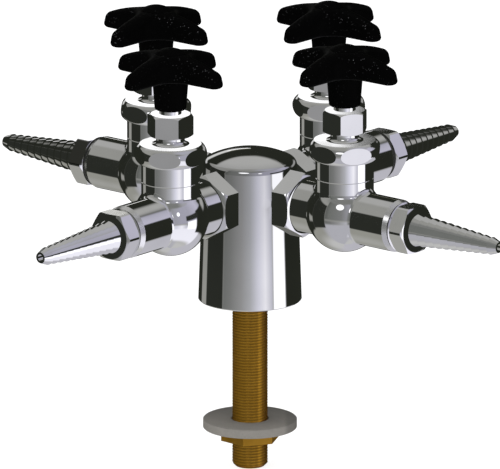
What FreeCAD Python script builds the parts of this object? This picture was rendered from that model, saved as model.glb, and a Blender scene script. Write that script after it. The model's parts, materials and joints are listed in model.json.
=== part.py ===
"""Four-way bench faucet: a column on a threaded shank carries four needle valves.

Each valve has a four-arm handle and a serrated hose nozzle that points outwards.
The frame has its origin at the centre of the column's bottom face, with +Z up,
and the valves stand along +X, +Y, -X and -Y, numbered 1 to 4. A valve is drawn
once, on +X, and turned about the column for the other three. Lengths are in mm.
"""
import os
import FreeCAD
import Part
from math import acos, asin, atan2, cos, pi, radians, sin, sqrt, tan

os.makedirs("parts", exist_ok=True)

ORIGIN = FreeCAD.Vector(0, 0, 0)
UP = FreeCAD.Vector(0, 0, 1)
SIDEWAYS = FreeCAD.Vector(0, 1, 0)

# How near two places must lie to count as the same
same_place = 0.01

# Layout
valve_count = 4
valve_reach = 59.0
port_height = 52.0

# Named clearances
thread_clear = 0.05
running_clear = 0.05
slip_clear = 0.1
washer_clear = 0.5
seat_contact = 0.03

# Column
column_height = 74.5
column_foot_radius = 24.9
column_taper = 0.035
column_dome_radius = 46.6
column_edge_round = 3.6
column_foot_chamfer = 0.5
column_chamber_radius = 7.5
column_chamber_roof = 12.0
column_thread_depth = 25.0
spot_face_radius = 9.4
spot_face_reach = 20.2
side_drilling_radius = 4.5
side_socket_depth = 8.7

# Deck seal in the foot of the column
seal_inner_radius = 14.0
seal_outer_radius = 21.5
seal_thickness = 1.6

# Shank
shank_radius = 8.57
shank_below = 83.0
shank_engaged = 24.0
shank_bore_radius = 5.5
thread_pitch = 1.411
thread_depth = 0.75
thread_crest = 0.3
shank_end_chamfer = 1.6

# Deck washer and locknut, run down to leave room for the deck
deck_gap = 59.6
washer_radius = 22.6
washer_thickness = 4.3
locknut_flats = 25.2
locknut_height = 6.0
locknut_turn = 56.9

# Inlet coupling between the column and a valve
coupling_flats = 28.0
coupling_hex_start = 25.2
coupling_corner_drop = 2.5
coupling_corner_swell = 0.65
coupling_collar_radius = 9.0
coupling_tail_radius = 8.0
coupling_tail_gap = 0.3
coupling_spigot = 6.6
coupling_bore_radius = 4.5

# Valve body
ball_radius = 18.1
neck_radius = 14.0
body_height_over_port = 18.4
body_inlet_length = 23.6
boss_radius = 12.7
outlet_reach = 94.5
outlet_chamfer_length = 2.2
outlet_chamfer_depth = 1.2
ball_blend = 2.4
neck_blend = 3.0
seam_chamfer = 0.2
upper_chamber_radius = 7.0
upper_chamber_floor = 4.5
seat_pocket_depth = 4.0
lower_chamber_radius = 3.5
lower_chamber_depth = 5.0
slant_bore_radius = 2.5
slant_start_inset = 17.0
slant_drop = 13.0
slant_end_inset = 2.0
outlet_bore_radius = 4.5

# Seat
seat_radius = 5.0
seat_bore_radius = 2.4
seat_proud = 0.8

# Floating cone that closes the seat
cone_tip_radius = 1.2
cone_wide_radius = 3.4
cone_slope = 0.386
cone_land = 2.0
cone_neck_radius = 2.0
cone_neck_height = 1.6
cone_head_radius = 2.7
cone_head_height = 1.6

# Bonnet
bonnet_tail_radius = 10.4
bonnet_tail_length = 12.0
bonnet_gasket_thickness = 0.7
bonnet_gasket_inner = 7.3
bonnet_collar_rise = 9.1
bonnet_collar_height = 9.4
bonnet_collar_round = 5.3
bonnet_collar_radius = 17.66
bonnet_flats = 31.75
bonnet_cavity_radius = 7.0
bonnet_cavity_height = 6.0
bonnet_neck_radius = 6.8
bonnet_neck_height = 3.9
bonnet_neck_flare = 2.3
gland_thread_radius = 6.45
gland_thread_length = 6.7
stuffing_radius = 4.9
stuffing_depth = 8.0
gland_guide_length = 5.5

# Packing and packing nut
packing_height = 6.0
packing_nut_flats = 19.4
packing_nut_face_radius = 9.5
packing_nut_corner_drop = 1.0
packing_nut_corner_swell = 0.08
packing_nut_height = 10.8
packing_nut_roof = 3.8

# Stem
stem_thread_radius = 4.4
stem_thread_pitch = 1.5
stem_thread_depth = 0.55
stem_thread_length = 13.5
stem_foot_radius = 3.9
stem_foot_length = 8.0
stem_head_gap = 0.2
stem_head_lip = 1.4
stem_radius = 3.2
stem_collar_radius = 5.3
stem_collar_gap = 0.15
stem_collar_height = 2.0
stem_square = 6.0
stem_square_length = 15.0
screw_thread_radius = 2.0
screw_thread_length = 8.0

# Handle
handle_hub_low_radius = 7.65
handle_hub_high_radius = 8.7
handle_hub_height = 14.85
handle_hub_round = 1.2
handle_radius = 32.0
handle_tip_lean = 15.0
handle_tip_half_width = 4.3
handle_web_reach = 10.5
handle_web_round = 9.2
handle_tip_thickness = 6.0
handle_crown = 13.15
handle_top_round = 4.1
handle_under_round = 1.8
screw_head_radius = 7.2
screw_head_height = 3.2
screw_head_sunk = 1.2

# Hose nozzle
nozzle_seal_thickness = 1.0
nozzle_seal_radius = 11.4
nozzle_collar_radius = 11.9
nozzle_collar_length = 0.5
nozzle_groove_radius = 11.0
nozzle_flats = 22.2
nozzle_bar_radius = 12.5
nozzle_hex_length = 8.3
nozzle_inner_face_radius = 11.4
nozzle_inner_corner_drop = 0.9
nozzle_face_radius = 10.9
nozzle_corner_drop = 0.7
nozzle_corner_swell = 0.04
nozzle_neck_length = 0.7
nozzle_first_crest = 7.9
nozzle_last_crest = 4.3
nozzle_tip_radius = 2.7
nozzle_bore_radius = 1.6
nozzle_tail_radius = 8.0
nozzle_tail_length = 10.0
nozzle_tail_bore = 4.5
barb_count = 11
barb_pitch = 4.5
barb_depth = 0.85

# Heights and reaches that follow from the sizes above
body_top = port_height + body_height_over_port
chamber_floor = port_height - upper_chamber_floor
seat_foot = chamber_floor - seat_pocket_depth
seat_top = chamber_floor + seat_proud
bonnet_tail_foot = body_top - bonnet_tail_length
pocket_floor = bonnet_tail_foot - bonnet_gasket_thickness
collar_foot = body_top + bonnet_collar_rise
collar_top = collar_foot + bonnet_collar_height
packing_nut_foot = collar_top + bonnet_neck_height
packing_nut_top = packing_nut_foot + packing_nut_height
bonnet_top = packing_nut_foot + gland_thread_length
packing_foot = bonnet_top - stuffing_depth
packing_top = packing_foot + packing_height
cone_tip = seat_top - (seat_bore_radius - seat_contact - cone_tip_radius) / cone_slope
cone_wide = cone_tip + (cone_wide_radius - cone_tip_radius) / cone_slope
cone_shoulder = cone_wide + cone_land
stem_foot = cone_shoulder + stem_head_gap
cone_top = cone_shoulder + cone_neck_height + cone_head_height
stem_thread_foot = stem_foot + stem_foot_length
stem_thread_top = stem_thread_foot + stem_thread_length
collar_seat = packing_nut_top + stem_collar_gap
hub_foot = collar_seat + stem_collar_height
stem_end = hub_foot + stem_square_length
hub_top = hub_foot + handle_hub_height
crown_top = hub_top + handle_crown
washer_top = -deck_gap
washer_foot = washer_top - washer_thickness
locknut_foot = washer_foot - locknut_height
nozzle_foot = outlet_reach + nozzle_seal_thickness
nozzle_hex_start = nozzle_foot + nozzle_collar_length
nozzle_hex_end = nozzle_hex_start + nozzle_hex_length
nozzle_first_barb = nozzle_hex_end + nozzle_neck_length
nozzle_reach = nozzle_first_barb + barb_count * barb_pitch
coupling_hex_end = valve_reach - body_inlet_length
spigot_end = coupling_hex_end + coupling_spigot


def point(step):
    return FreeCAD.Vector(step[0], 0, step[1])


def lathe(start, *steps):
    """Turn a closed outline about the vertical axis.

    A step of two numbers is a straight run to that radius and height. A step of
    four is an arc through the first pair to the second.
    """
    edges = []
    here = start
    for step in steps + (start,):
        there = step[-2:]
        if len(step) == 4:
            edges.append(Part.Arc(point(here), point(step[:2]), point(there)).toShape())
        else:
            edges.append(Part.LineSegment(point(here), point(there)).toShape())
        here = there
    return Part.Face(Part.Wire(edges)).revolve(ORIGIN, UP, 360)


def rod(radius, low, high):
    return Part.makeCylinder(radius, high - low, FreeCAD.Vector(0, 0, low))


def ring(inner, outer, low, high):
    return rod(outer, low, high).cut(rod(inner, low, high))


def hex_prism(flats, low, high, turn=0):
    """A hexagonal bar with one corner at the turn angle from +X."""
    corner_radius = flats / sqrt(3)
    corners = []
    for side in range(7):
        angle = radians(turn + 60 * side)
        corners.append(FreeCAD.Vector(corner_radius * cos(angle), corner_radius * sin(angle), low))
    return Part.Face(Part.makePolygon(corners)).extrude(UP * (high - low))


def hex_bar(flats, low, high, foot=None, head=None, turn=0, bar_radius=None):
    """A hexagonal bar whose corners are turned back at its foot, its head or both.

    A turned end is given by the radius of its flat face, by how far the corners drop
    behind that face, and by how far the slope between the two swells outwards. Flats
    milled on a round bar leave a narrow strip of the bar at each corner.
    """
    corner_radius = bar_radius or flats / sqrt(3) + same_place

    def turned_end(face_radius, drop, swell, face_height, inwards):
        width = corner_radius - face_radius
        slope_length = sqrt(width ** 2 + drop ** 2)
        middle = (
            (corner_radius + face_radius) / 2 + swell * drop / slope_length,
            face_height + inwards * (drop / 2 - swell * width / slope_length),
        )
        return (corner_radius, face_height + inwards * drop), middle, (face_radius, face_height)

    outline = [(0, low)]
    if foot:
        corner, middle, face = turned_end(*foot, low, 1)
        outline += [face, middle + corner]
    else:
        outline.append((corner_radius, low))
    if head:
        corner, middle, face = turned_end(*head, high, -1)
        outline += [corner, middle + face]
    else:
        outline.append((corner_radius, high))
    outline.append((0, high))
    return hex_prism(flats, low, high, turn).common(lathe(*outline))


def lay_along_reach(shape):
    """Lay a shape drawn upwards so that its axis runs out along +X at port height."""
    laid = shape.copy()
    laid.rotate(ORIGIN, SIDEWAYS, 90)
    laid.translate(UP * port_height)
    return laid


def at_valve(shape):
    """Move a shape drawn on the column's axis out to the valve's axis."""
    moved = shape.copy()
    moved.translate(FreeCAD.Vector(valve_reach, 0, 0))
    return moved


def thread_steps(radius, depth, pitch, crest, low, high):
    """Corners of turned thread ridges, from low to high, along the outside of a rod."""
    flank = (pitch - crest) / 2
    steps = [(radius, low)]
    ridges = int((high - low - crest) / pitch)
    for ridge in range(ridges):
        foot = low + crest + ridge * pitch
        steps.append((radius, foot))
        steps.append((radius - depth, foot + flank))
        steps.append((radius, foot + 2 * flank))
    steps.append((radius, high))
    return steps


def column_side_radius(height):
    return column_foot_radius - column_taper * height


def column_blank():
    """The tapered column with its domed top and rounded shoulder."""
    dome_centre = column_height - column_dome_radius
    # The shoulder's arc touches the tapered side and the dome.
    reach = column_dome_radius - column_edge_round
    edge_height = column_height
    for attempt in range(20):
        edge_radius = column_side_radius(edge_height) - column_edge_round
        edge_height = dome_centre + sqrt(reach ** 2 - edge_radius ** 2)
    tilt = asin(edge_radius / reach)
    side_tilt = pi / 2 - column_taper
    middle_tilt = (tilt + side_tilt) / 2

    def on_edge(angle):
        return (
            edge_radius + column_edge_round * sin(angle),
            edge_height + column_edge_round * cos(angle),
        )

    def on_dome(angle):
        return (column_dome_radius * sin(angle), dome_centre + column_dome_radius * cos(angle))

    foot = column_foot_chamfer
    return lathe(
        (0, 0),
        (column_foot_radius - foot, 0),
        (column_side_radius(foot), foot),
        on_edge(side_tilt),
        on_edge(middle_tilt) + on_edge(tilt),
        on_dome(tilt / 2) + (0, column_height),
    )


def column():
    shape = column_blank()
    roof = port_height + column_chamber_roof
    shape = shape.cut(rod(column_chamber_radius, 0, roof))
    shape = shape.cut(rod(shank_radius + thread_clear, 0, column_thread_depth))
    shape = shape.cut(ring(seal_inner_radius, seal_outer_radius, 0, seal_thickness))
    port = rod(side_drilling_radius, 0, spot_face_reach)
    port = port.fuse(
        rod(coupling_tail_radius + thread_clear, spot_face_reach - side_socket_depth, spot_face_reach)
    )
    port = port.fuse(rod(spot_face_radius, spot_face_reach, column_foot_radius))
    port = lay_along_reach(port)
    for number in range(valve_count):
        shape = shape.cut(around(port, number))
    return shape


def deck_seal():
    return ring(seal_inner_radius, seal_outer_radius, 0, seal_thickness)


def shank():
    low = -shank_below
    crest_start = low + shank_end_chamfer
    outline = [(shank_bore_radius, low), (shank_radius - shank_end_chamfer, low)]
    outline += thread_steps(
        shank_radius, thread_depth, thread_pitch, thread_crest, crest_start, shank_engaged
    )
    outline.append((shank_bore_radius, shank_engaged))
    return lathe(*outline)


def deck_washer():
    bore = shank_radius + washer_clear
    edge = 0.3
    return lathe(
        (bore, washer_foot),
        (washer_radius - edge, washer_foot),
        (washer_radius, washer_foot + edge),
        (washer_radius, washer_top - edge),
        (washer_radius - edge, washer_top),
        (bore, washer_top),
    )


def locknut():
    """Thin nut with sharp corners at both ends."""
    shape = hex_prism(locknut_flats, locknut_foot, washer_foot, locknut_turn)
    return shape.cut(rod(shank_radius + thread_clear, locknut_foot, washer_foot))


def coupling():
    """Hexagonal connector: a tail in the column, a spigot in the valve."""
    tail_start = spot_face_reach - side_socket_depth + coupling_tail_gap
    outer_end = (boss_radius, coupling_corner_drop, coupling_corner_swell)
    shape = rod(coupling_collar_radius, spot_face_reach, coupling_hex_start)
    shape = shape.fuse(
        hex_bar(coupling_flats, coupling_hex_start, coupling_hex_end, head=outer_end)
    )
    shape = shape.fuse(rod(coupling_tail_radius, tail_start, spot_face_reach))
    shape = shape.fuse(rod(coupling_tail_radius, coupling_hex_end, spigot_end))
    shape = shape.cut(rod(coupling_bore_radius, tail_start, spigot_end))
    return lay_along_reach(shape.removeSplitter())


def body_blank():
    """Ball and bosses turned as one piece, with the neck standing on the ball."""
    # Each blend arc touches the boss on one side and the ball on the other.
    centre_radius = boss_radius + ball_blend
    centre_reach = sqrt((ball_radius + ball_blend) ** 2 - centre_radius ** 2)
    on_ball = ball_radius / (ball_radius + ball_blend)
    touch_radius = centre_radius * on_ball
    touch_reach = centre_reach * on_ball
    half_turn = atan2(centre_reach, centre_radius) / 2
    middle_radius = centre_radius - ball_blend * cos(half_turn)
    middle_reach = centre_reach - ball_blend * sin(half_turn)
    run = lathe(
        (0, coupling_hex_end),
        (boss_radius, coupling_hex_end),
        (boss_radius, valve_reach - centre_reach),
        (middle_radius, valve_reach - middle_reach, touch_radius, valve_reach - touch_reach),
        (ball_radius, valve_reach, touch_radius, valve_reach + touch_reach),
        (middle_radius, valve_reach + middle_reach, boss_radius, valve_reach + centre_reach),
        (boss_radius, outlet_reach - outlet_chamfer_length),
        (boss_radius - outlet_chamfer_depth, outlet_reach),
        (0, outlet_reach),
    )
    neck = lathe(
        (0, port_height),
        (neck_radius, port_height),
        (neck_radius, body_top - seam_chamfer),
        (neck_radius - seam_chamfer, body_top),
        (0, body_top),
    )
    blank = lay_along_reach(run).fuse(at_valve(neck)).removeSplitter()
    valleys = [edge for edge in blank.Edges if is_neck_valley(edge)]
    return blank.makeFillet(neck_blend, valleys)


def is_neck_valley(edge):
    """True for the edges where the neck runs into the ball and the bosses."""
    if edge.Length < same_place or edge.Vertexes[0].Z > body_top - 2 * seam_chamfer:
        return False
    first = edge.Vertexes[0].Point
    last = edge.Vertexes[-1].Point
    middle = edge.valueAt((edge.FirstParameter + edge.LastParameter) / 2)
    for spot in (first, middle, last):
        from_axis = sqrt((spot.x - valve_reach) ** 2 + spot.y ** 2)
        if abs(from_axis - neck_radius) > same_place:
            return False
    return middle.z < body_top - 2 * seam_chamfer and abs(first.z - last.z) < neck_blend


def valve_body():
    shape = body_blank()
    pocket = rod(bonnet_tail_radius + thread_clear, pocket_floor, body_top)
    chamber = rod(upper_chamber_radius, chamber_floor, pocket_floor)
    seat_pocket = rod(seat_radius + thread_clear, seat_foot, chamber_floor)
    lower_chamber = rod(lower_chamber_radius, seat_foot - lower_chamber_depth, seat_foot)
    upright = at_valve(pocket.fuse([chamber, seat_pocket, lower_chamber]))
    slant_start = valve_reach - slant_start_inset
    inlet = rod(coupling_tail_radius + thread_clear, coupling_hex_end, spigot_end)
    inlet = inlet.fuse(rod(slant_bore_radius, spigot_end, slant_start + slant_bore_radius))
    outlet = rod(outlet_bore_radius, valve_reach, outlet_reach)
    outlet = outlet.fuse(
        rod(nozzle_tail_radius + thread_clear, outlet_reach - nozzle_tail_length, outlet_reach)
    )
    level = lay_along_reach(inlet.fuse(outlet))
    slant_from = FreeCAD.Vector(slant_start, 0, port_height)
    slant_to = FreeCAD.Vector(valve_reach - slant_end_inset, 0, port_height - slant_drop)
    run = slant_to - slant_from
    slant = Part.makeCylinder(slant_bore_radius, run.Length, slant_from, run)
    return shape.cut([upright, level, slant])


def seat():
    shape = lathe(
        (seat_bore_radius, seat_foot),
        (seat_radius, seat_foot),
        (seat_radius, seat_top - seat_proud / 2),
        (seat_radius - seat_proud / 2, seat_top),
        (seat_bore_radius, seat_top),
    )
    return at_valve(shape)


def cone():
    """Tapered cone whose button head hangs in the foot of the stem."""
    neck_top = cone_shoulder + cone_neck_height
    shape = lathe(
        (0, cone_tip),
        (cone_tip_radius, cone_tip),
        (cone_wide_radius, cone_wide),
        (cone_wide_radius, cone_shoulder),
        (cone_neck_radius, cone_shoulder),
        (cone_neck_radius, neck_top),
        (cone_head_radius, neck_top),
        (cone_head_radius, cone_top),
        (0, cone_top),
    )
    return at_valve(shape)


def stem():
    """Threaded stem with its swivel foot, packing length, collar and square."""
    lip_top = stem_foot + stem_head_lip
    neck_hole = cone_neck_radius + slip_clear
    head_hole = cone_head_radius + slip_clear
    outline = [
        (neck_hole, stem_foot),
        (stem_foot_radius, stem_foot),
        (stem_foot_radius, stem_thread_foot),
    ]
    outline += thread_steps(
        stem_thread_radius,
        stem_thread_depth,
        stem_thread_pitch,
        thread_crest,
        stem_thread_foot,
        stem_thread_top,
    )
    outline += [
        (stem_radius, stem_thread_top),
        (stem_radius, collar_seat),
        (stem_collar_radius, collar_seat),
        (stem_collar_radius, hub_foot),
        (0, hub_foot),
        (0, cone_top + stem_head_gap),
        (head_hole, cone_top + stem_head_gap),
        (head_hole, lip_top),
        (neck_hole, lip_top),
    ]
    shape = lathe(*outline)
    half = stem_square / 2
    square = Part.makeBox(
        stem_square, stem_square, stem_square_length, FreeCAD.Vector(-half, -half, hub_foot)
    )
    shape = shape.fuse(square)
    shape = shape.cut(rod(screw_thread_radius + thread_clear, stem_end - screw_thread_length, stem_end))
    return at_valve(shape)


def bonnet_gasket():
    return at_valve(ring(bonnet_gasket_inner, bonnet_tail_radius, pocket_floor, bonnet_tail_foot))


def bonnet():
    """Bonnet: threaded tail, skirt, wrench collar and neck with the stuffing box."""
    middle = (collar_foot + collar_top) / 2
    arc_centre = bonnet_collar_radius - bonnet_collar_round
    ledge = arc_centre + sqrt(bonnet_collar_round ** 2 - (bonnet_collar_height / 2) ** 2)
    flare_middle = bonnet_neck_flare * (1 - sqrt(0.5))
    skirt_foot = body_top
    thread_hole = stem_thread_radius + thread_clear
    guide_hole = stem_radius + slip_clear
    cavity_top = bonnet_tail_foot + bonnet_cavity_height
    guide_foot = packing_foot - gland_guide_length
    shape = lathe(
        (bonnet_cavity_radius, bonnet_tail_foot),
        (bonnet_tail_radius, bonnet_tail_foot),
        (bonnet_tail_radius, skirt_foot),
        (neck_radius - seam_chamfer, skirt_foot),
        (neck_radius, skirt_foot + seam_chamfer),
        (neck_radius, collar_foot),
        (ledge, collar_foot),
        (bonnet_collar_radius, middle, ledge, collar_top),
        (bonnet_neck_radius + bonnet_neck_flare, collar_top),
        (
            bonnet_neck_radius + flare_middle,
            collar_top + flare_middle,
            bonnet_neck_radius,
            collar_top + bonnet_neck_flare,
        ),
        (bonnet_neck_radius, packing_nut_foot),
        (gland_thread_radius, packing_nut_foot),
        (gland_thread_radius, bonnet_top),
        (stuffing_radius, bonnet_top),
        (stuffing_radius, packing_foot),
        (guide_hole, packing_foot),
        (guide_hole, guide_foot),
        (thread_hole, guide_foot),
        (thread_hole, cavity_top),
        (bonnet_cavity_radius, cavity_top),
    )
    # The wrench flats cut the round collar into six ovals and leave the rest.
    outside = ring(neck_radius, bonnet_flats, collar_foot, collar_top)
    outside = outside.cut(hex_prism(bonnet_flats, collar_foot, collar_top))
    return at_valve(shape.cut(outside))


def packing():
    inner = stem_radius + running_clear
    return at_valve(ring(inner, stuffing_radius - running_clear, packing_foot, packing_top))


def packing_nut():
    """Gland nut: its inner sleeve presses on the packing."""
    cavity_top = packing_nut_top - packing_nut_roof
    sleeve = stuffing_radius - slip_clear
    turned = (packing_nut_face_radius, packing_nut_corner_drop, packing_nut_corner_swell)
    shape = hex_bar(packing_nut_flats, packing_nut_foot, packing_nut_top, turned, turned)
    shape = shape.cut(
        ring(sleeve, gland_thread_radius + thread_clear, packing_nut_foot, cavity_top)
    )
    shape = shape.cut(rod(sleeve, packing_nut_foot, packing_top))
    shape = shape.cut(rod(stem_radius + slip_clear, packing_nut_foot, packing_nut_top))
    return at_valve(shape)


def flat_point(radius, angle):
    return FreeCAD.Vector(radius * cos(angle), radius * sin(angle), 0)


def handle_outline(reach, height):
    """Four round-tipped arms joined by hollow webs, as an outline at one height."""
    tip_centre = reach - handle_tip_half_width
    web_centre = flat_point(handle_web_reach + handle_web_round, radians(45))
    across = web_centre - FreeCAD.Vector(tip_centre, 0, 0)
    # The side of an arm touches its round tip and the web beside it.
    lean = acos((handle_tip_half_width + handle_web_round) / across.Length)
    side_angle = atan2(across.y, across.x) - lean
    tip_touch = FreeCAD.Vector(tip_centre, 0, 0) + flat_point(handle_tip_half_width, side_angle)
    web_touch = web_centre - flat_point(handle_web_round, side_angle)
    tip_start = FreeCAD.Vector(tip_touch.x, -tip_touch.y, 0)
    web_end = FreeCAD.Vector(web_touch.y, web_touch.x, 0)
    next_tip = FreeCAD.Vector(tip_touch.y, tip_touch.x, 0)
    quarter_edges = [
        Part.Arc(tip_start, FreeCAD.Vector(reach, 0, 0), tip_touch).toShape(),
        Part.LineSegment(tip_touch, web_touch).toShape(),
        Part.Arc(web_touch, flat_point(handle_web_reach, radians(45)), web_end).toShape(),
        Part.LineSegment(web_end, next_tip).toShape(),
    ]
    edges = []
    for quarter in range(4):
        for edge in quarter_edges:
            turned = edge.copy()
            turned.rotate(ORIGIN, UP, 90 * quarter)
            turned.translate(UP * height)
            edges.append(turned)
    return Part.Wire(edges)


def handle_arms():
    """Four drooping arms with rounded edges. Their ends lean inwards towards the top."""
    tip_top = hub_top + handle_tip_thickness
    half = handle_radius / 2
    steepest_rim = sin(radians(45))
    crown_reach = handle_radius - handle_crown * tan(radians(handle_tip_lean))
    foot_outline = handle_outline(handle_radius, hub_top)
    crown_outline = handle_outline(crown_reach, crown_top)
    arms = Part.makeLoft([foot_outline, crown_outline], True, True)
    sag_at_half = (crown_top - tip_top) / 4
    envelope = lathe(
        (0, hub_top),
        (handle_radius, hub_top),
        (handle_radius, tip_top),
        (half, crown_top - sag_at_half, 0, crown_top),
    )
    arms = arms.common(envelope)
    top_rim = []
    under_rim = []
    for edge in arms.Edges:
        at_middle = (edge.FirstParameter + edge.LastParameter) / 2
        middle = edge.valueAt(at_middle)
        is_level = edge.Length > same_place and abs(edge.tangentAt(at_middle).z) < steepest_rim
        if is_level and middle.z > hub_top + handle_tip_thickness / 2:
            top_rim.append(edge)
        elif is_level:
            under_rim.append(edge)
    arms = arms.makeFillet(handle_top_round, top_rim)
    return arms.makeFillet(handle_under_round, matching(arms, under_rim))


def matching(shape, edges):
    """Find the edges of a shape that lie where the given edges lay."""
    centres = [edge.CenterOfMass for edge in edges]
    found = []
    for edge in shape.Edges:
        nearest = min((edge.CenterOfMass - spot).Length for spot in centres)
        if edge.Length > same_place and nearest < same_place:
            found.append(edge)
    return found


def handle():
    """Hub and arms, with a square socket for the stem and a recess for the screw."""
    edge_middle = handle_hub_round * (1 - sqrt(0.5))
    hub = lathe(
        (0, hub_foot),
        (handle_hub_low_radius - handle_hub_round, hub_foot),
        (
            handle_hub_low_radius - edge_middle,
            hub_foot + edge_middle,
            handle_hub_low_radius,
            hub_foot + handle_hub_round,
        ),
        (handle_hub_high_radius, hub_top),
        (handle_hub_high_radius, hub_top + handle_under_round),
        (0, hub_top + handle_under_round),
    )
    shape = handle_arms().fuse(hub)
    head_seat = crown_top - screw_head_sunk
    side = stem_square + 2 * running_clear
    socket = Part.makeBox(
        side, side, stem_end - hub_foot + slip_clear, FreeCAD.Vector(-side / 2, -side / 2, hub_foot)
    )
    hole = rod(screw_thread_radius + slip_clear, stem_end, head_seat)
    recess = rod(screw_head_radius + slip_clear, head_seat, crown_top + screw_head_height)
    return at_valve(shape.cut([socket, hole, recess]))


def handle_screw():
    """Button-headed screw that holds the handle on the stem."""
    seat_height = crown_top - screw_head_sunk
    rim = seat_height + screw_head_height / 3
    top = seat_height + screw_head_height
    arc_centre_drop = (screw_head_radius ** 2 - (top - rim) ** 2) / (2 * (top - rim))
    arc_radius = arc_centre_drop + top - rim
    half = screw_head_radius / 2
    on_arc = rim - arc_centre_drop + sqrt(arc_radius ** 2 - half ** 2)
    shape = lathe(
        (0, stem_end - screw_thread_length + slip_clear),
        (screw_thread_radius, stem_end - screw_thread_length + slip_clear),
        (screw_thread_radius, seat_height),
        (screw_head_radius, seat_height),
        (screw_head_radius, rim),
        (half, on_arc, 0, top),
    )
    return at_valve(shape)


def nozzle_seal():
    inner = nozzle_tail_radius + thread_clear
    return lay_along_reach(ring(inner, nozzle_seal_radius, outlet_reach, nozzle_foot))


def nozzle():
    """Hose nozzle: tail, sloping collar, wrench hexagon and a cone of saw-tooth barbs."""
    tail_start = outlet_reach - nozzle_tail_length + coupling_tail_gap
    narrowing = (nozzle_first_crest - nozzle_last_crest) / (barb_count - 1)
    neck = nozzle_first_crest - barb_depth
    outline = [
        (nozzle_bore_radius, nozzle_foot),
        (nozzle_collar_radius, nozzle_foot),
        (nozzle_groove_radius, nozzle_hex_start),
        (neck, nozzle_hex_start),
        (neck, nozzle_first_barb),
    ]
    for barb in range(barb_count):
        crest = nozzle_first_crest - narrowing * barb
        valley = crest - narrowing - barb_depth
        foot = nozzle_first_barb + barb * barb_pitch
        outline.append((crest, foot))
        if barb < barb_count - 1:
            outline.append((valley, foot + barb_pitch))
    outline.append((nozzle_tip_radius, nozzle_reach))
    outline.append((nozzle_bore_radius, nozzle_reach))
    shape = lathe(*outline)
    inner_end = (nozzle_inner_face_radius, nozzle_inner_corner_drop, nozzle_corner_swell)
    outer_end = (nozzle_face_radius, nozzle_corner_drop, nozzle_corner_swell)
    hexagon = hex_bar(
        nozzle_flats, nozzle_hex_start, nozzle_hex_end, inner_end, outer_end, 90, nozzle_bar_radius
    )
    shape = shape.fuse(hexagon)
    shape = shape.fuse(rod(nozzle_tail_radius, tail_start, nozzle_foot))
    shape = shape.cut(rod(nozzle_bore_radius, tail_start, nozzle_reach))
    shape = shape.cut(rod(nozzle_tail_bore, tail_start, nozzle_hex_end))
    return lay_along_reach(shape)


def around(shape, number):
    """Turn a copy of a shape drawn on +X about the column to its own side."""
    turned = shape.copy()
    turned.rotate(ORIGIN, UP, number * 360 / valve_count)
    return turned


def write(shape, name):
    solids = shape.Solids
    if len(solids) != 1 or not shape.isValid():
        print("check", name, "solids", len(solids), "valid", shape.isValid())
    solids[0].exportStep("parts/" + name + ".step")
    print(name, round(solids[0].Volume, 1))


write(column(), "column")
write(deck_seal(), "deck_seal")
write(shank(), "shank")
write(deck_washer(), "deck_washer")
write(locknut(), "locknut")

valve_pieces = {
    "coupling": coupling,
    "valve_body": valve_body,
    "seat": seat,
    "cone": cone,
    "stem": stem,
    "bonnet_gasket": bonnet_gasket,
    "bonnet": bonnet,
    "packing": packing,
    "packing_nut": packing_nut,
    "handle": handle,
    "handle_screw": handle_screw,
    "nozzle_seal": nozzle_seal,
    "nozzle": nozzle,
}
for piece_name, make in valve_pieces.items():
    piece = make()
    for number in range(valve_count):
        write(around(piece, number), piece_name + "_" + str(number + 1))
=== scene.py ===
"""Looks for the four-way bench faucet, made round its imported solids. Lengths are in metres."""
import json
from math import cos, pi, radians, sin

import bpy
import bmesh
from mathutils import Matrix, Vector


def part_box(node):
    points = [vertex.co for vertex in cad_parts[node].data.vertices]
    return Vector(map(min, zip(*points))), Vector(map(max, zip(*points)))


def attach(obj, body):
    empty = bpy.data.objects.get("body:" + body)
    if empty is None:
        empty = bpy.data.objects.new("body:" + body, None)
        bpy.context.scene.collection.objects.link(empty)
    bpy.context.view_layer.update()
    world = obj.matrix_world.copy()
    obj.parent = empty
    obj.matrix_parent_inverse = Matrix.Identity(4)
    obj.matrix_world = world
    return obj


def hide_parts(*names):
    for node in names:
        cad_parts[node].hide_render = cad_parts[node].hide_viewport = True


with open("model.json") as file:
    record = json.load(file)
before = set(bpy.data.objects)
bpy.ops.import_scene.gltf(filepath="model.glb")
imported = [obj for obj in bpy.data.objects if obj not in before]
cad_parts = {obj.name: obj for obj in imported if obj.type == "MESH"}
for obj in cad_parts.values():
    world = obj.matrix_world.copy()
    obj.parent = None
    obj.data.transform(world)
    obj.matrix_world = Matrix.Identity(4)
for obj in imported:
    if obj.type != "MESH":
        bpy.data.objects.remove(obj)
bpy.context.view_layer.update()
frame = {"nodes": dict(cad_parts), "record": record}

# The photograph's view
LENS = 1400.0
SENSOR = 36.0
FRAME_WIDTH = 0.240
VIEW_AZIMUTH = radians(40)
VIEW_ELEVATION = radians(15)
VIEW_TARGET = Vector((0.0, 0.0, 0.03175))
NEAREST_SEEN = 0.1
FARTHEST_SEEN = 40.0

# Directions, as the photograph shows the faucet
UP = (0, 0, 1)
TO_RIGHT = (cos(VIEW_AZIMUTH), sin(VIEW_AZIMUTH), 0)
TO_BACK = (-sin(VIEW_AZIMUTH), cos(VIEW_AZIMUTH), 0)
REAR_LEFT_NOZZLE = (-1, 0, 0)
LIT_SIDE_OF_HANDLES = (0.30, -0.80, 0.52)
MATT_LIGHT = (-0.2, -0.69, 0.7)

# The shank and its thread
SHANK_LOW, SHANK_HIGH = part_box("shank")
CREST_RADIUS = SHANK_HIGH.x
THREAD_PITCH = 0.001411
THREAD_DEPTH = 0.0004
STEPS_IN_A_PITCH = 8
SHANK_BORE = 0.0055
SHANK_END_CHAMFER = 0.0016
SHANK_SIDES = 72

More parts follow.
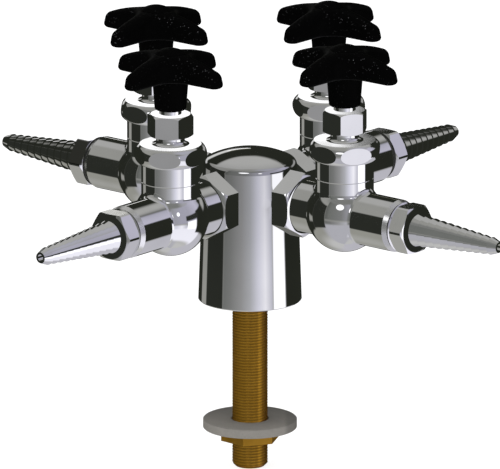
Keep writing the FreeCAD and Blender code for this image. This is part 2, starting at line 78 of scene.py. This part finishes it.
# Where a finish, or painted light and shade, changes on a piece
EDGE = 0.0001
COLUMN_SHADE_FULL = 0.06
COLUMN_DOME_FOOT = 0.07
COLUMN_DOME_EDGE = 0.0015
OUTLET_CHAMFER = 0.0923
HEXAGON_FOOT = 0.0961
HEXAGON_HEAD = 0.1055
HEXAGON_HEAD_EDGE = 0.0005
UPPER_FLAT_FOOT = 0.0522
UPPER_FLAT_TOP = 0.0629
PAINTED_STREAK_REACH = 0.0086
WASHER_SHADE_FRONT = -0.019
WASHER_SHADE_BACK = 0.022
WASHER_RIGHT_SIDE = (0.016, 0.0188)

# How much painted highlight shows across the thread, from its left side at 0 to its right side at
# 1
PAINTED_THREAD_HIGHLIGHT = (
    (0.02, 1.0), (0.125, 0.72), (0.5, 0.47), (0.70, 0.31), (0.755, 1.0), (0.785, 0.8), (0.85, 0.1),
)

FLOOR_REACH = 8.0


def linear(red, green, blue):
    """A screen colour from 0 to 255 as the light values that the shaders take."""
    def channel(value):
        value /= 255
        return value / 12.92 if value < 0.04045 else ((value + 0.055) / 1.055) ** 2.4
    return (channel(red), channel(green), channel(blue), 1.0)


PLATED = linear(246, 246, 248)
HAZY_PLATED = tuple(0.93 * value for value in PLATED[:3]) + (1.0,)
DARK_WALL = linear(38, 40, 34)
LAMP = (1.3, 1.3, 1.3, 1)


class Flow:
    """A socket in a node tree. Sums on it add Math nodes, and node() adds any other node."""

    def __init__(self, tree, socket=None):
        self.tree = tree
        self.socket = socket

    def node(self, kind, settings, sockets, out=0):
        made = self.tree.nodes.new(kind)
        for name, value in settings.items():
            if name == "stops":
                while len(made.color_ramp.elements) < len(value):
                    made.color_ramp.elements.new(1.0)
                for element, (place, colour) in zip(made.color_ramp.elements, value):
                    element.position = place
                    element.color = colour
            else:
                setattr(made, name, value)
        for name, value in sockets.items():
            if isinstance(value, Flow):
                self.tree.links.new(value.socket, made.inputs[name])
            else:
                made.inputs[name].default_value = value
        return Flow(self.tree, made.outputs[out]) if made.outputs else None

    def sum(self, operation, first, second=0.0):
        return self.node("ShaderNodeMath", {"operation": operation}, {0: first, 1: second})

    def __add__(self, other):
        return self.sum("ADD", self, other)

    def __sub__(self, other):
        return self.sum("SUBTRACT", self, other)

    def __mul__(self, other):
        return self.sum("MULTIPLY", self, other)

    def __abs__(self):
        return self.sum("ABSOLUTE", self)

    __radd__ = __add__

    def ramp(self, low, high, start=0.0, end=1.0, shape="SMOOTHSTEP"):
        """The value from low to high as start to end, held at both ends."""
        return self.node(
            "ShaderNodeMapRange",
            {"interpolation_type": shape, "clamp": True},
            {"Value": self, "From Min": low, "From Max": high, "To Min": start, "To Max": end},
        )

    def above(self, level, edge=EDGE):
        """1 where the value is above a level and 0 below it."""
        return self.ramp(level - edge, level + edge)

    def below(self, level, edge=EDGE):
        """1 where the value is below a level and 0 above it."""
        return self.ramp(level + edge, level - edge)

    def blend(self, under, over):
        """Colour under where this mask is 0 and colour over where it is 1."""
        return self.node(
            "ShaderNodeMix", {"data_type": "RGBA"}, {"Factor": self, 6: under, 7: over}, out=2
        )

    def stops(self, stops):
        """A colour that goes from stop to stop as this value goes from 0 to 1."""
        return self.node("ShaderNodeValToRGB", {"stops": stops}, {0: self})

    def noise(self, place, scale, detail):
        return self.node(
            "ShaderNodeTexNoise", {}, {"Vector": place, "Scale": scale, "Detail": detail}
        )

    def cells(self, place, scale, out):
        return self.node(
            "ShaderNodeTexVoronoi", {"feature": "F1"}, {"Vector": place, "Scale": scale}, out=out
        )

    def bump(self, height, strength, distance):
        return self.node(
            "ShaderNodeBump", {}, {"Strength": strength, "Distance": distance, "Height": height}
        )

    def along(self, place, direction):
        return self.node(
            "ShaderNodeVectorMath", {"operation": "DOT_PRODUCT"}, {0: place, 1: direction}, out=1
        )

    def stretched(self, place, scale):
        return self.node("ShaderNodeVectorMath", {"operation": "MULTIPLY"}, {0: place, 1: scale})

    def length(self, place):
        return self.node("ShaderNodeVectorMath", {"operation": "LENGTH"}, {0: place}, out=1)


def new_material(name):
    """An empty material, its flow, and the place on the piece that its patterns follow."""
    material = bpy.data.materials.new(name)
    material.use_nodes = True
    material.node_tree.nodes.clear()
    flow = Flow(material.node_tree)
    place = flow.node("ShaderNodeTexCoord", {}, {}, out="Object")
    return material, flow, place


def surface(flow, **sockets):
    """Close a material with a Principled shader."""
    names = {name.replace("_", " "): value for name, value in sockets.items()}
    shader = flow.node("ShaderNodeBsdfPrincipled", {}, names)
    flow.node("ShaderNodeOutputMaterial", {}, {"Surface": shader})


def painted_column_shade(flow, place, tone, roughness):
    """Painted shade: the column's side is painted darker towards the top of its side."""
    height = flow.along(place, UP)
    upper = height.ramp(0.0, COLUMN_SHADE_FULL) * height.below(COLUMN_DOME_FOOT, COLUMN_DOME_EDGE)
    return upper.blend(tone, linear(220, 220, 223)), roughness


def duller_chamfer(flow, place, tone, roughness):
    """The chamfer round a valve body's outlet is turned after polishing, so it is duller."""
    side_reach = abs(flow.along(place, (1, 0, 0)))
    front_reach = abs(flow.along(place, (0, 1, 0)))
    reach = flow.sum("MAXIMUM", side_reach, front_reach)
    return tone, roughness + reach.above(OUTLET_CHAMFER) * 0.2


def painted_flat_reflection(flow, place, tone, roughness):
    """The upper wrench flat of the rear left nozzle is painted dark, as a painted reflection of
    the dark handle over it.
    """
    height = flow.along(place, UP)
    reach = flow.along(place, REAR_LEFT_NOZZLE)
    flat = height.above(UPPER_FLAT_FOOT) * height.below(UPPER_FLAT_TOP)
    flat = flat * reach.above(HEXAGON_FOOT) * reach.below(HEXAGON_HEAD, HEXAGON_HEAD_EDGE)
    return flat.blend(tone, linear(78, 79, 75)), roughness


def chrome_material(name, polish=0.02, turned=0.0, change=None):
    """Plated metal: slight haze, faint wiping marks and, where turned, fine lathe lines."""
    material, flow, place = new_material(name)
    haze = flow.noise(place, 60.0, 3.0)
    wiping = flow.noise(flow.stretched(place, (1.0, 1.0, 0.12)), 1400.0, 2.0)
    lines = flow.noise(flow.stretched(place, (0.02, 0.02, 1.0)), 3200.0, 1.0)
    roughness = polish + haze.ramp(0.35, 0.75) * 0.03 + wiping.ramp(0.6, 0.8) * 0.03
    tone = haze.ramp(0.3, 0.8).blend(PLATED, HAZY_PLATED)
    if change:
        tone, roughness = change(flow, place, tone, roughness)
    normal = flow.bump(wiping * 0.3 + lines * turned, 0.08, 0.00002)
    surface(flow, Base_Color=tone, Metallic=1.0, Roughness=roughness, Normal=normal)
    return material


def painted_thread_light(flow, place, tone):
    """Painted light across the thread: a painted highlight at its left and along one bright
    streak, and painted shade elsewhere.
    """
    side = flow.along(place, TO_RIGHT).ramp(-PAINTED_STREAK_REACH, PAINTED_STREAK_REACH, shape="LINEAR")
    painted_highlight = side.stops([(spot, (share, share, share, 1.0)) for spot, share in PAINTED_THREAD_HIGHLIGHT])
    # Where the painted highlight is low, the brass takes a darker tone: painted shade.
    tone = painted_highlight.blend(linear(142, 105, 37), tone)
    # The thread's roots are darker.
    radius = flow.length(flow.stretched(place, (1.0, 1.0, 0.0)))
    darker_roots = radius.ramp(CREST_RADIUS - THREAD_DEPTH, CREST_RADIUS, 0.42, 0.0, "LINEAR")
    return darker_roots.blend(tone, linear(70, 48, 12))


def brass_material(name, polish, shine, bright, dull, change=None):
    """Rough-machined brass with darker, duller patches and turning lines."""
    material, flow, place = new_material(name)
    patches = flow.noise(place, 130.0, 4.0)
    lines = flow.noise(flow.stretched(place, (0.03, 0.03, 1.0)), 2600.0, 2.0)
    tone = patches.ramp(0.3, 0.75).blend(bright, dull)
    if change:
        tone = change(flow, place, tone)
    surface(
        flow,
        Base_Color=tone,
        Metallic=shine,
        Roughness=polish + patches * 0.1 + lines * 0.05,
        Specular_IOR_Level=0.1,
        Specular_Tint=linear(190, 146, 66),
        Normal=flow.bump(lines, 0.25, 0.00005),
    )
    return material


def washer_material():
    """Moulded grey fibre washer with a fine speckle, and painted shade making it darker at its
    back and its right side.
    """
    material, flow, place = new_material("fibre_washer")
    cloud = flow.noise(place, 90.0, 3.0)
    grain = flow.noise(place, 2600.0, 2.0)
    tint = (cloud * 0.5 + grain * 0.5).ramp(0.35, 0.65)
    tone = tint.blend(linear(124, 121, 115), linear(138, 134, 128))
    # Painted shade: darker towards the back.
    behind = flow.along(place, TO_BACK).ramp(WASHER_SHADE_FRONT, WASHER_SHADE_BACK, shape="LINEAR")
    tone = behind.blend(tone, linear(84, 82, 77))
    # Painted shade: darker towards the right side.
    beside = flow.along(place, TO_RIGHT).ramp(*WASHER_RIGHT_SIDE)
    tone = (beside * 0.5).blend(tone, linear(80, 78, 74))
    surface(
        flow,
        Base_Color=tone,
        Roughness=0.5 + grain * 0.2,
        Normal=flow.bump(grain, 0.3, 0.0001),
    )
    return material


def handle_material():
    """Glossy black moulding with a fine pebbled skin and sparse bright flecks that are painted
    glints.
    """
    material, flow, place = new_material("black_moulding")
    spot = flow.cells(place, 1700.0, "Distance").ramp(0.5, 0.2)
    chance = flow.along(flow.cells(place, 1700.0, "Color"), (1.0, 0.0, 0.0))
    picked = chance.ramp(0.9, 0.99, shape="LINEAR")
    # The flecks are painted glints, showing most where the moulding faces the front and a little
    # upwards.
    facing = flow.node("ShaderNodeTexCoord", {}, {}, out="Normal")
    lit = flow.along(facing, LIT_SIDE_OF_HANDLES).ramp(0.72, 0.98, 0.03, 1.0)
    clusters = flow.noise(place, 120.0, 2.0).ramp(0.4, 0.6)
    painted_glint = picked * spot * lit * (0.25 + clusters * 0.75)
    skin = flow.noise(place, 1500.0, 3.0)
    wear = flow.noise(place, 150.0, 3.0)
    surface(
        flow,
        Base_Color=painted_glint.blend(linear(4, 4, 4), linear(120, 121, 123)),
        Metallic=painted_glint * 0.8,
        Roughness=0.36 + wear.ramp(0.3, 0.8) * 0.12,
        Specular_IOR_Level=0.008,
        Normal=flow.bump(skin, 0.15, 0.0001),
    )
    return material


def plain_material(name, low, high, roughness):
    """A small inner piece: two near tones and a fine grain."""
    material, flow, place = new_material(name)
    cloud = flow.noise(place, 300.0, 3.0)
    grain = flow.noise(place, 3000.0, 2.0)
    surface(
        flow,
        Base_Color=cloud.ramp(0.35, 0.65).blend(low, high),
        Roughness=roughness + grain * 0.15,
        Normal=flow.bump(grain, 0.2, 0.00008),
    )
    return material


def steel_material():
    """Ground stainless steel with fine grinding lines."""
    material, flow, place = new_material("ground_steel")
    lines = flow.noise(flow.stretched(place, (0.05, 0.05, 1.0)), 5000.0, 2.0)
    surface(
        flow,
        Base_Color=lines.ramp(0.3, 0.7).blend(linear(176, 176, 174), linear(200, 200, 198)),
        Metallic=1.0,
        Roughness=0.22 + lines * 0.12,
        Normal=flow.bump(lines, 0.2, 0.00003),
    )
    return material


# The finish of a piece, of a kind of piece, or else of a material slot
finishes = {
    "column": chrome_material("column_chrome", change=painted_column_shade),
    "valve_body": chrome_material("valve_body_chrome", change=duller_chamfer),
    "nozzle_3": chrome_material("rear_nozzle_chrome", change=painted_flat_reflection),
    "locknut": brass_material(
        "sawn_brass", 0.3, 0.61, linear(163, 122, 44), linear(149, 111, 37)
    ),
    "chrome": chrome_material("polished_chrome"),
    "stem_chrome": chrome_material("turned_chrome", polish=0.06, turned=1.0),
    "brass": brass_material(
        "machined_brass", 0.14, 0.78, linear(192, 145, 54), linear(176, 131, 44), painted_thread_light
    ),
    "washer_grey": washer_material(),
    "seal_rubber": plain_material("seal_rubber", linear(30, 30, 30), linear(42, 41, 40), 0.6),
    "gasket": plain_material("white_gasket", linear(205, 204, 198), linear(222, 221, 216), 0.45),
    "packing": plain_material("packing_ring", linear(214, 213, 207), linear(228, 227, 222), 0.5),
    "stainless": steel_material(),
    "handle_black": handle_material(),
}
slots = {row["node"]: row["material_slot"] for row in frame["record"]["subparts"]}

for name, obj in frame["nodes"].items():
    names = (name, name.rstrip("_1234"), slots[name])
    obj.data.materials.clear()
    obj.data.materials.append(next(finishes[key] for key in names if key in finishes))
    # Each piece mirrors only the room, so its neighbours don't crowd its reflections.
    obj.visible_glossy = False


def threaded_shank():
    """The brass shank with its thread as one continuous right-handed helix."""
    low, high = SHANK_LOW.z, SHANK_HIGH.z
    mesh = bmesh.new()

    def ring(heights, radius_at):
        """Points once round the shank, the last one over the first."""
        row = []
        for side, height in enumerate(heights):
            angle = 2 * pi * side / SHANK_SIDES
            radius = radius_at(height)
            row.append(mesh.verts.new((radius * cos(angle), radius * sin(angle), height)))
        return row

    def band(lower, upper):
        for side in range(SHANK_SIDES):
            mesh.faces.new((lower[side], lower[side + 1], upper[side + 1], upper[side]))

    def thread_radius(groove):
        """Radius at a height, with the thread cut down by groove and both ends chamfered."""
        end = CREST_RADIUS - SHANK_END_CHAMFER
        return lambda height: min(CREST_RADIUS - groove, end + height - low, end + high - height)

    rows = []
    turns = int((high - low) / THREAD_PITCH) + 2
    for turn in range(-1, turns):
        for step in range(STEPS_IN_A_PITCH):
            part = step / STEPS_IN_A_PITCH
            groove = THREAD_DEPTH * (1 - cos(2 * pi * part)) / 2
            heights = []
            for side in range(SHANK_SIDES + 1):
                height = low + THREAD_PITCH * (turn + part + side / SHANK_SIDES)
                heights.append(min(max(height, low), high))
            rows.append(ring(heights, thread_radius(groove)))
    for lower, upper in zip(rows, rows[1:]):
        band(lower, upper)
    bore_foot, bore_top = [
        ring([height] * (SHANK_SIDES + 1), lambda height: SHANK_BORE) for height in (low, high)
    ]
    band(bore_top, bore_foot)
    band(bore_foot, rows[0])
    band(rows[-1], bore_top)
    bmesh.ops.remove_doubles(mesh, verts=mesh.verts, dist=1e-6)
    bmesh.ops.dissolve_degenerate(mesh, edges=mesh.edges, dist=1e-7)
    bmesh.ops.recalc_face_normals(mesh, faces=mesh.faces)
    for face in mesh.faces:
        face.smooth = abs(face.normal.z) < 0.99
    data = bpy.data.meshes.new("threaded_shank")
    mesh.to_mesh(data)
    mesh.free()
    piece = bpy.data.objects.new("threaded_shank", data)
    bpy.context.scene.collection.objects.link(piece)
    data.materials.append(finishes["brass"])
    piece.visible_glossy = False
    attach(piece, "root")
    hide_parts("shank")


def room_light():
    """The room that polished pieces mirror, painted in panels, and plain light for the rest."""
    world = bpy.data.worlds.new("studio_room")
    bpy.context.scene.world = world
    world.use_nodes = True
    world.node_tree.nodes.clear()
    flow = Flow(world.node_tree)
    direction = flow.node("ShaderNodeTexCoord", {}, {}, out="Generated")
    height = flow.sum("ARCSINE", flow.along(direction, UP)) * (180 / pi)

    def turned_from(centre):
        """Degrees round from a wall's middle, given to the right of the camera's side."""
        turn = VIEW_AZIMUTH + radians(centre)
        ahead = flow.along(direction, (sin(turn), -cos(turn), 0))
        aside = flow.along(direction, (cos(turn), sin(turn), 0))
        return flow.sum("ARCTAN2", aside, ahead) * (180 / pi)

    def panel(under, start, end, low, high, colour, side_edge, height_edge):
        """Paint one panel of the room over what is there."""
        half = (end - start) / 2
        mask = abs(height - (low + high) / 2).below((high - low) / 2, height_edge)
        if half < 180:
            mask = mask * abs(turned_from((start + end) / 2)).below(half, side_edge)
        return mask.blend(under, colour)

    def window(under, azimuth, elevation, half_width, half_height, brightness):
        """Paint one round or oval opening of the room over what is there."""
        across = turned_from(azimuth) * (1 / half_width)
        up = (height - elevation) * (1 / half_height)
        spread = flow.sum("SQRT", across * across + up * up)
        return spread.below(1, 0.15).blend(under, (brightness, brightness, brightness, 1))

    def shade(*stops):
        """A colour that runs round the room: degrees, then red, green and blue at each stop."""
        first, last = stops[0][0], stops[-1][0]
        place = turned_from(0).ramp(first, last, shape="LINEAR")
        return place.stops([
            ((degrees - first) / (last - first), linear(*colour)) for degrees, *colour in stops
        ])

    walls = shade(
        (-63, 92, 94, 90), (-50, 112, 114, 110), (-10, 127, 128, 127), (14, 158, 158, 165),
        (35, 166, 165, 178), (62, 168, 167, 180), (100, 192, 190, 206), (125, 160, 160, 170),
    )
    skirting = shade(
        (-63, 108, 110, 107), (-45, 120, 121, 119), (-20, 148, 148, 148),
        (0, 176, 177, 181), (20, 222, 222, 234), (35, 250, 249, 255), (50, 200, 200, 211),
    )
    # From and to in degrees round, from and to in degrees up, colour, softness of the sides,
    # and softness of the foot and top. Later panels cover earlier ones.
    panels = (
        # Ceiling
        (35, 125, 44, 80, linear(172, 172, 182), 25, 18),
        (-75, 45, 40, 60, linear(124, 125, 122), 18, 8),
        (126, 232, 40, 78, linear(172, 172, 169), 10, 4),
        # Floor
        (-180, 180, -110, -17, linear(150, 150, 142), 2, 3),
        (-180, 180, -110, -56, linear(194, 194, 192), 2, 16),
        (-70, 24, -110, -17, linear(178, 178, 184), 16, 4),
        (100, 186, -110, -32, linear(190, 189, 196), 14, 3),
        (12, 108, -58, -14, linear(247, 246, 255), 5, 6),
        # Front and right walls
        (-63, 118, -6, 43, walls, 2, 3),
        (-63, 52, -19, -9, skirting, 2, 4),
        # Dark walls at the left, the back and the right, and a grey patch on the left one
        (-181, -114, -13, 27, DARK_WALL, 2, 2),
        (-181, -114, -31, -10, DARK_WALL, 2, 2),
        (-137, -115, -18, -10, linear(152, 152, 146), 2, 2),
        (-115, -64, -29, 29, linear(42, 44, 39), 2, 2),
        (88, 182, -31, 17, DARK_WALL, 2, 2),
        (118, 186, 10, 39, DARK_WALL, 5, 3),
        (-182, -150, 21, 39, DARK_WALL, 3, 2),
        (50, 94, 1, 14, linear(46, 48, 44), 2, 2),
        # Bright openings in them
        (55, 86, -22, -2, (1.3, 1.3, 1.33, 1), 2, 2),
        (-176, -146, 8, 17, linear(215, 215, 212), 3, 2),
        (125, 160, 3, 15, linear(165, 165, 162), 6, 3),
        # What the level flats mirror behind the faucet differs from its left to its right
        (179.7, 187, 14.9, 17.5, linear(122, 122, 104), 0.08, 0.05),
        (179.7, 187, 12.5, 14.9, LAMP, 0.08, 0.05),
    )
    room = linear(152, 152, 147)
    for row in panels:
        room = panel(room, *row)
    room = window(room, -17, 34.5, 14, 8.5, 1.6)
    room = window(room, 26, 24, 5, 6, 1.5)

    mirrored = flow.node("ShaderNodeLightPath", {}, {}, out="Is Glossy Ray")
    reflected = flow.node("ShaderNodeBackground", {}, {"Color": room, "Strength": 1.0})
    # Matt pieces get more light from the left, the front and above.
    lamp_side = flow.along(direction, MATT_LIGHT).ramp(-1, 1, 0.55, 1.3, "LINEAR")
    plain = flow.node("ShaderNodeBackground", {}, {"Color": (1, 1, 1, 1), "Strength": lamp_side})
    mixed = flow.node("ShaderNodeMixShader", {}, {0: mirrored, 1: plain, 2: reflected})
    flow.node("ShaderNodeOutputWorld", {}, {"Surface": mixed})


def pale_floor():
    """A white floor under the shank's lower end."""
    mesh = bpy.data.meshes.new("floor")
    corners = [
        (FLOOR_REACH * x, FLOOR_REACH * y, SHANK_LOW.z)
        for x, y in ((-1, -1), (1, -1), (1, 1), (-1, 1))
    ]
    mesh.from_pydata(corners, [], [(0, 1, 2, 3)])
    floor = bpy.data.objects.new("floor", mesh)
    bpy.context.scene.collection.objects.link(floor)
    material, flow, place = new_material("pale_floor")
    surface(
        flow,
        Base_Color=(0.3, 0.3, 0.3, 1),
        Roughness=0.9,
        Specular_IOR_Level=0.0,
        Emission_Color=(1, 1, 1, 1),
        Emission_Strength=0.85,
    )
    mesh.materials.append(material)
    floor.visible_glossy = False


def make_camera():
    """A long lens at the photograph's angle."""
    data = bpy.data.cameras.new("camera")
    data.lens = LENS
    data.sensor_width = SENSOR
    data.clip_start = NEAREST_SEEN
    data.clip_end = FARTHEST_SEEN
    camera = bpy.data.objects.new("camera", data)
    bpy.context.scene.collection.objects.link(camera)
    back = Vector((
        sin(VIEW_AZIMUTH) * cos(VIEW_ELEVATION),
        -cos(VIEW_AZIMUTH) * cos(VIEW_ELEVATION),
        sin(VIEW_ELEVATION),
    ))
    camera.location = VIEW_TARGET + back * (FRAME_WIDTH * LENS / SENSOR)
    camera.rotation_mode = "QUATERNION"
    camera.rotation_quaternion = (-back).to_track_quat("-Z", "Y")
    bpy.context.scene.camera = camera


threaded_shank()
room_light()
pale_floor()
make_camera()
bpy.context.scene.view_settings.view_transform = "Standard"
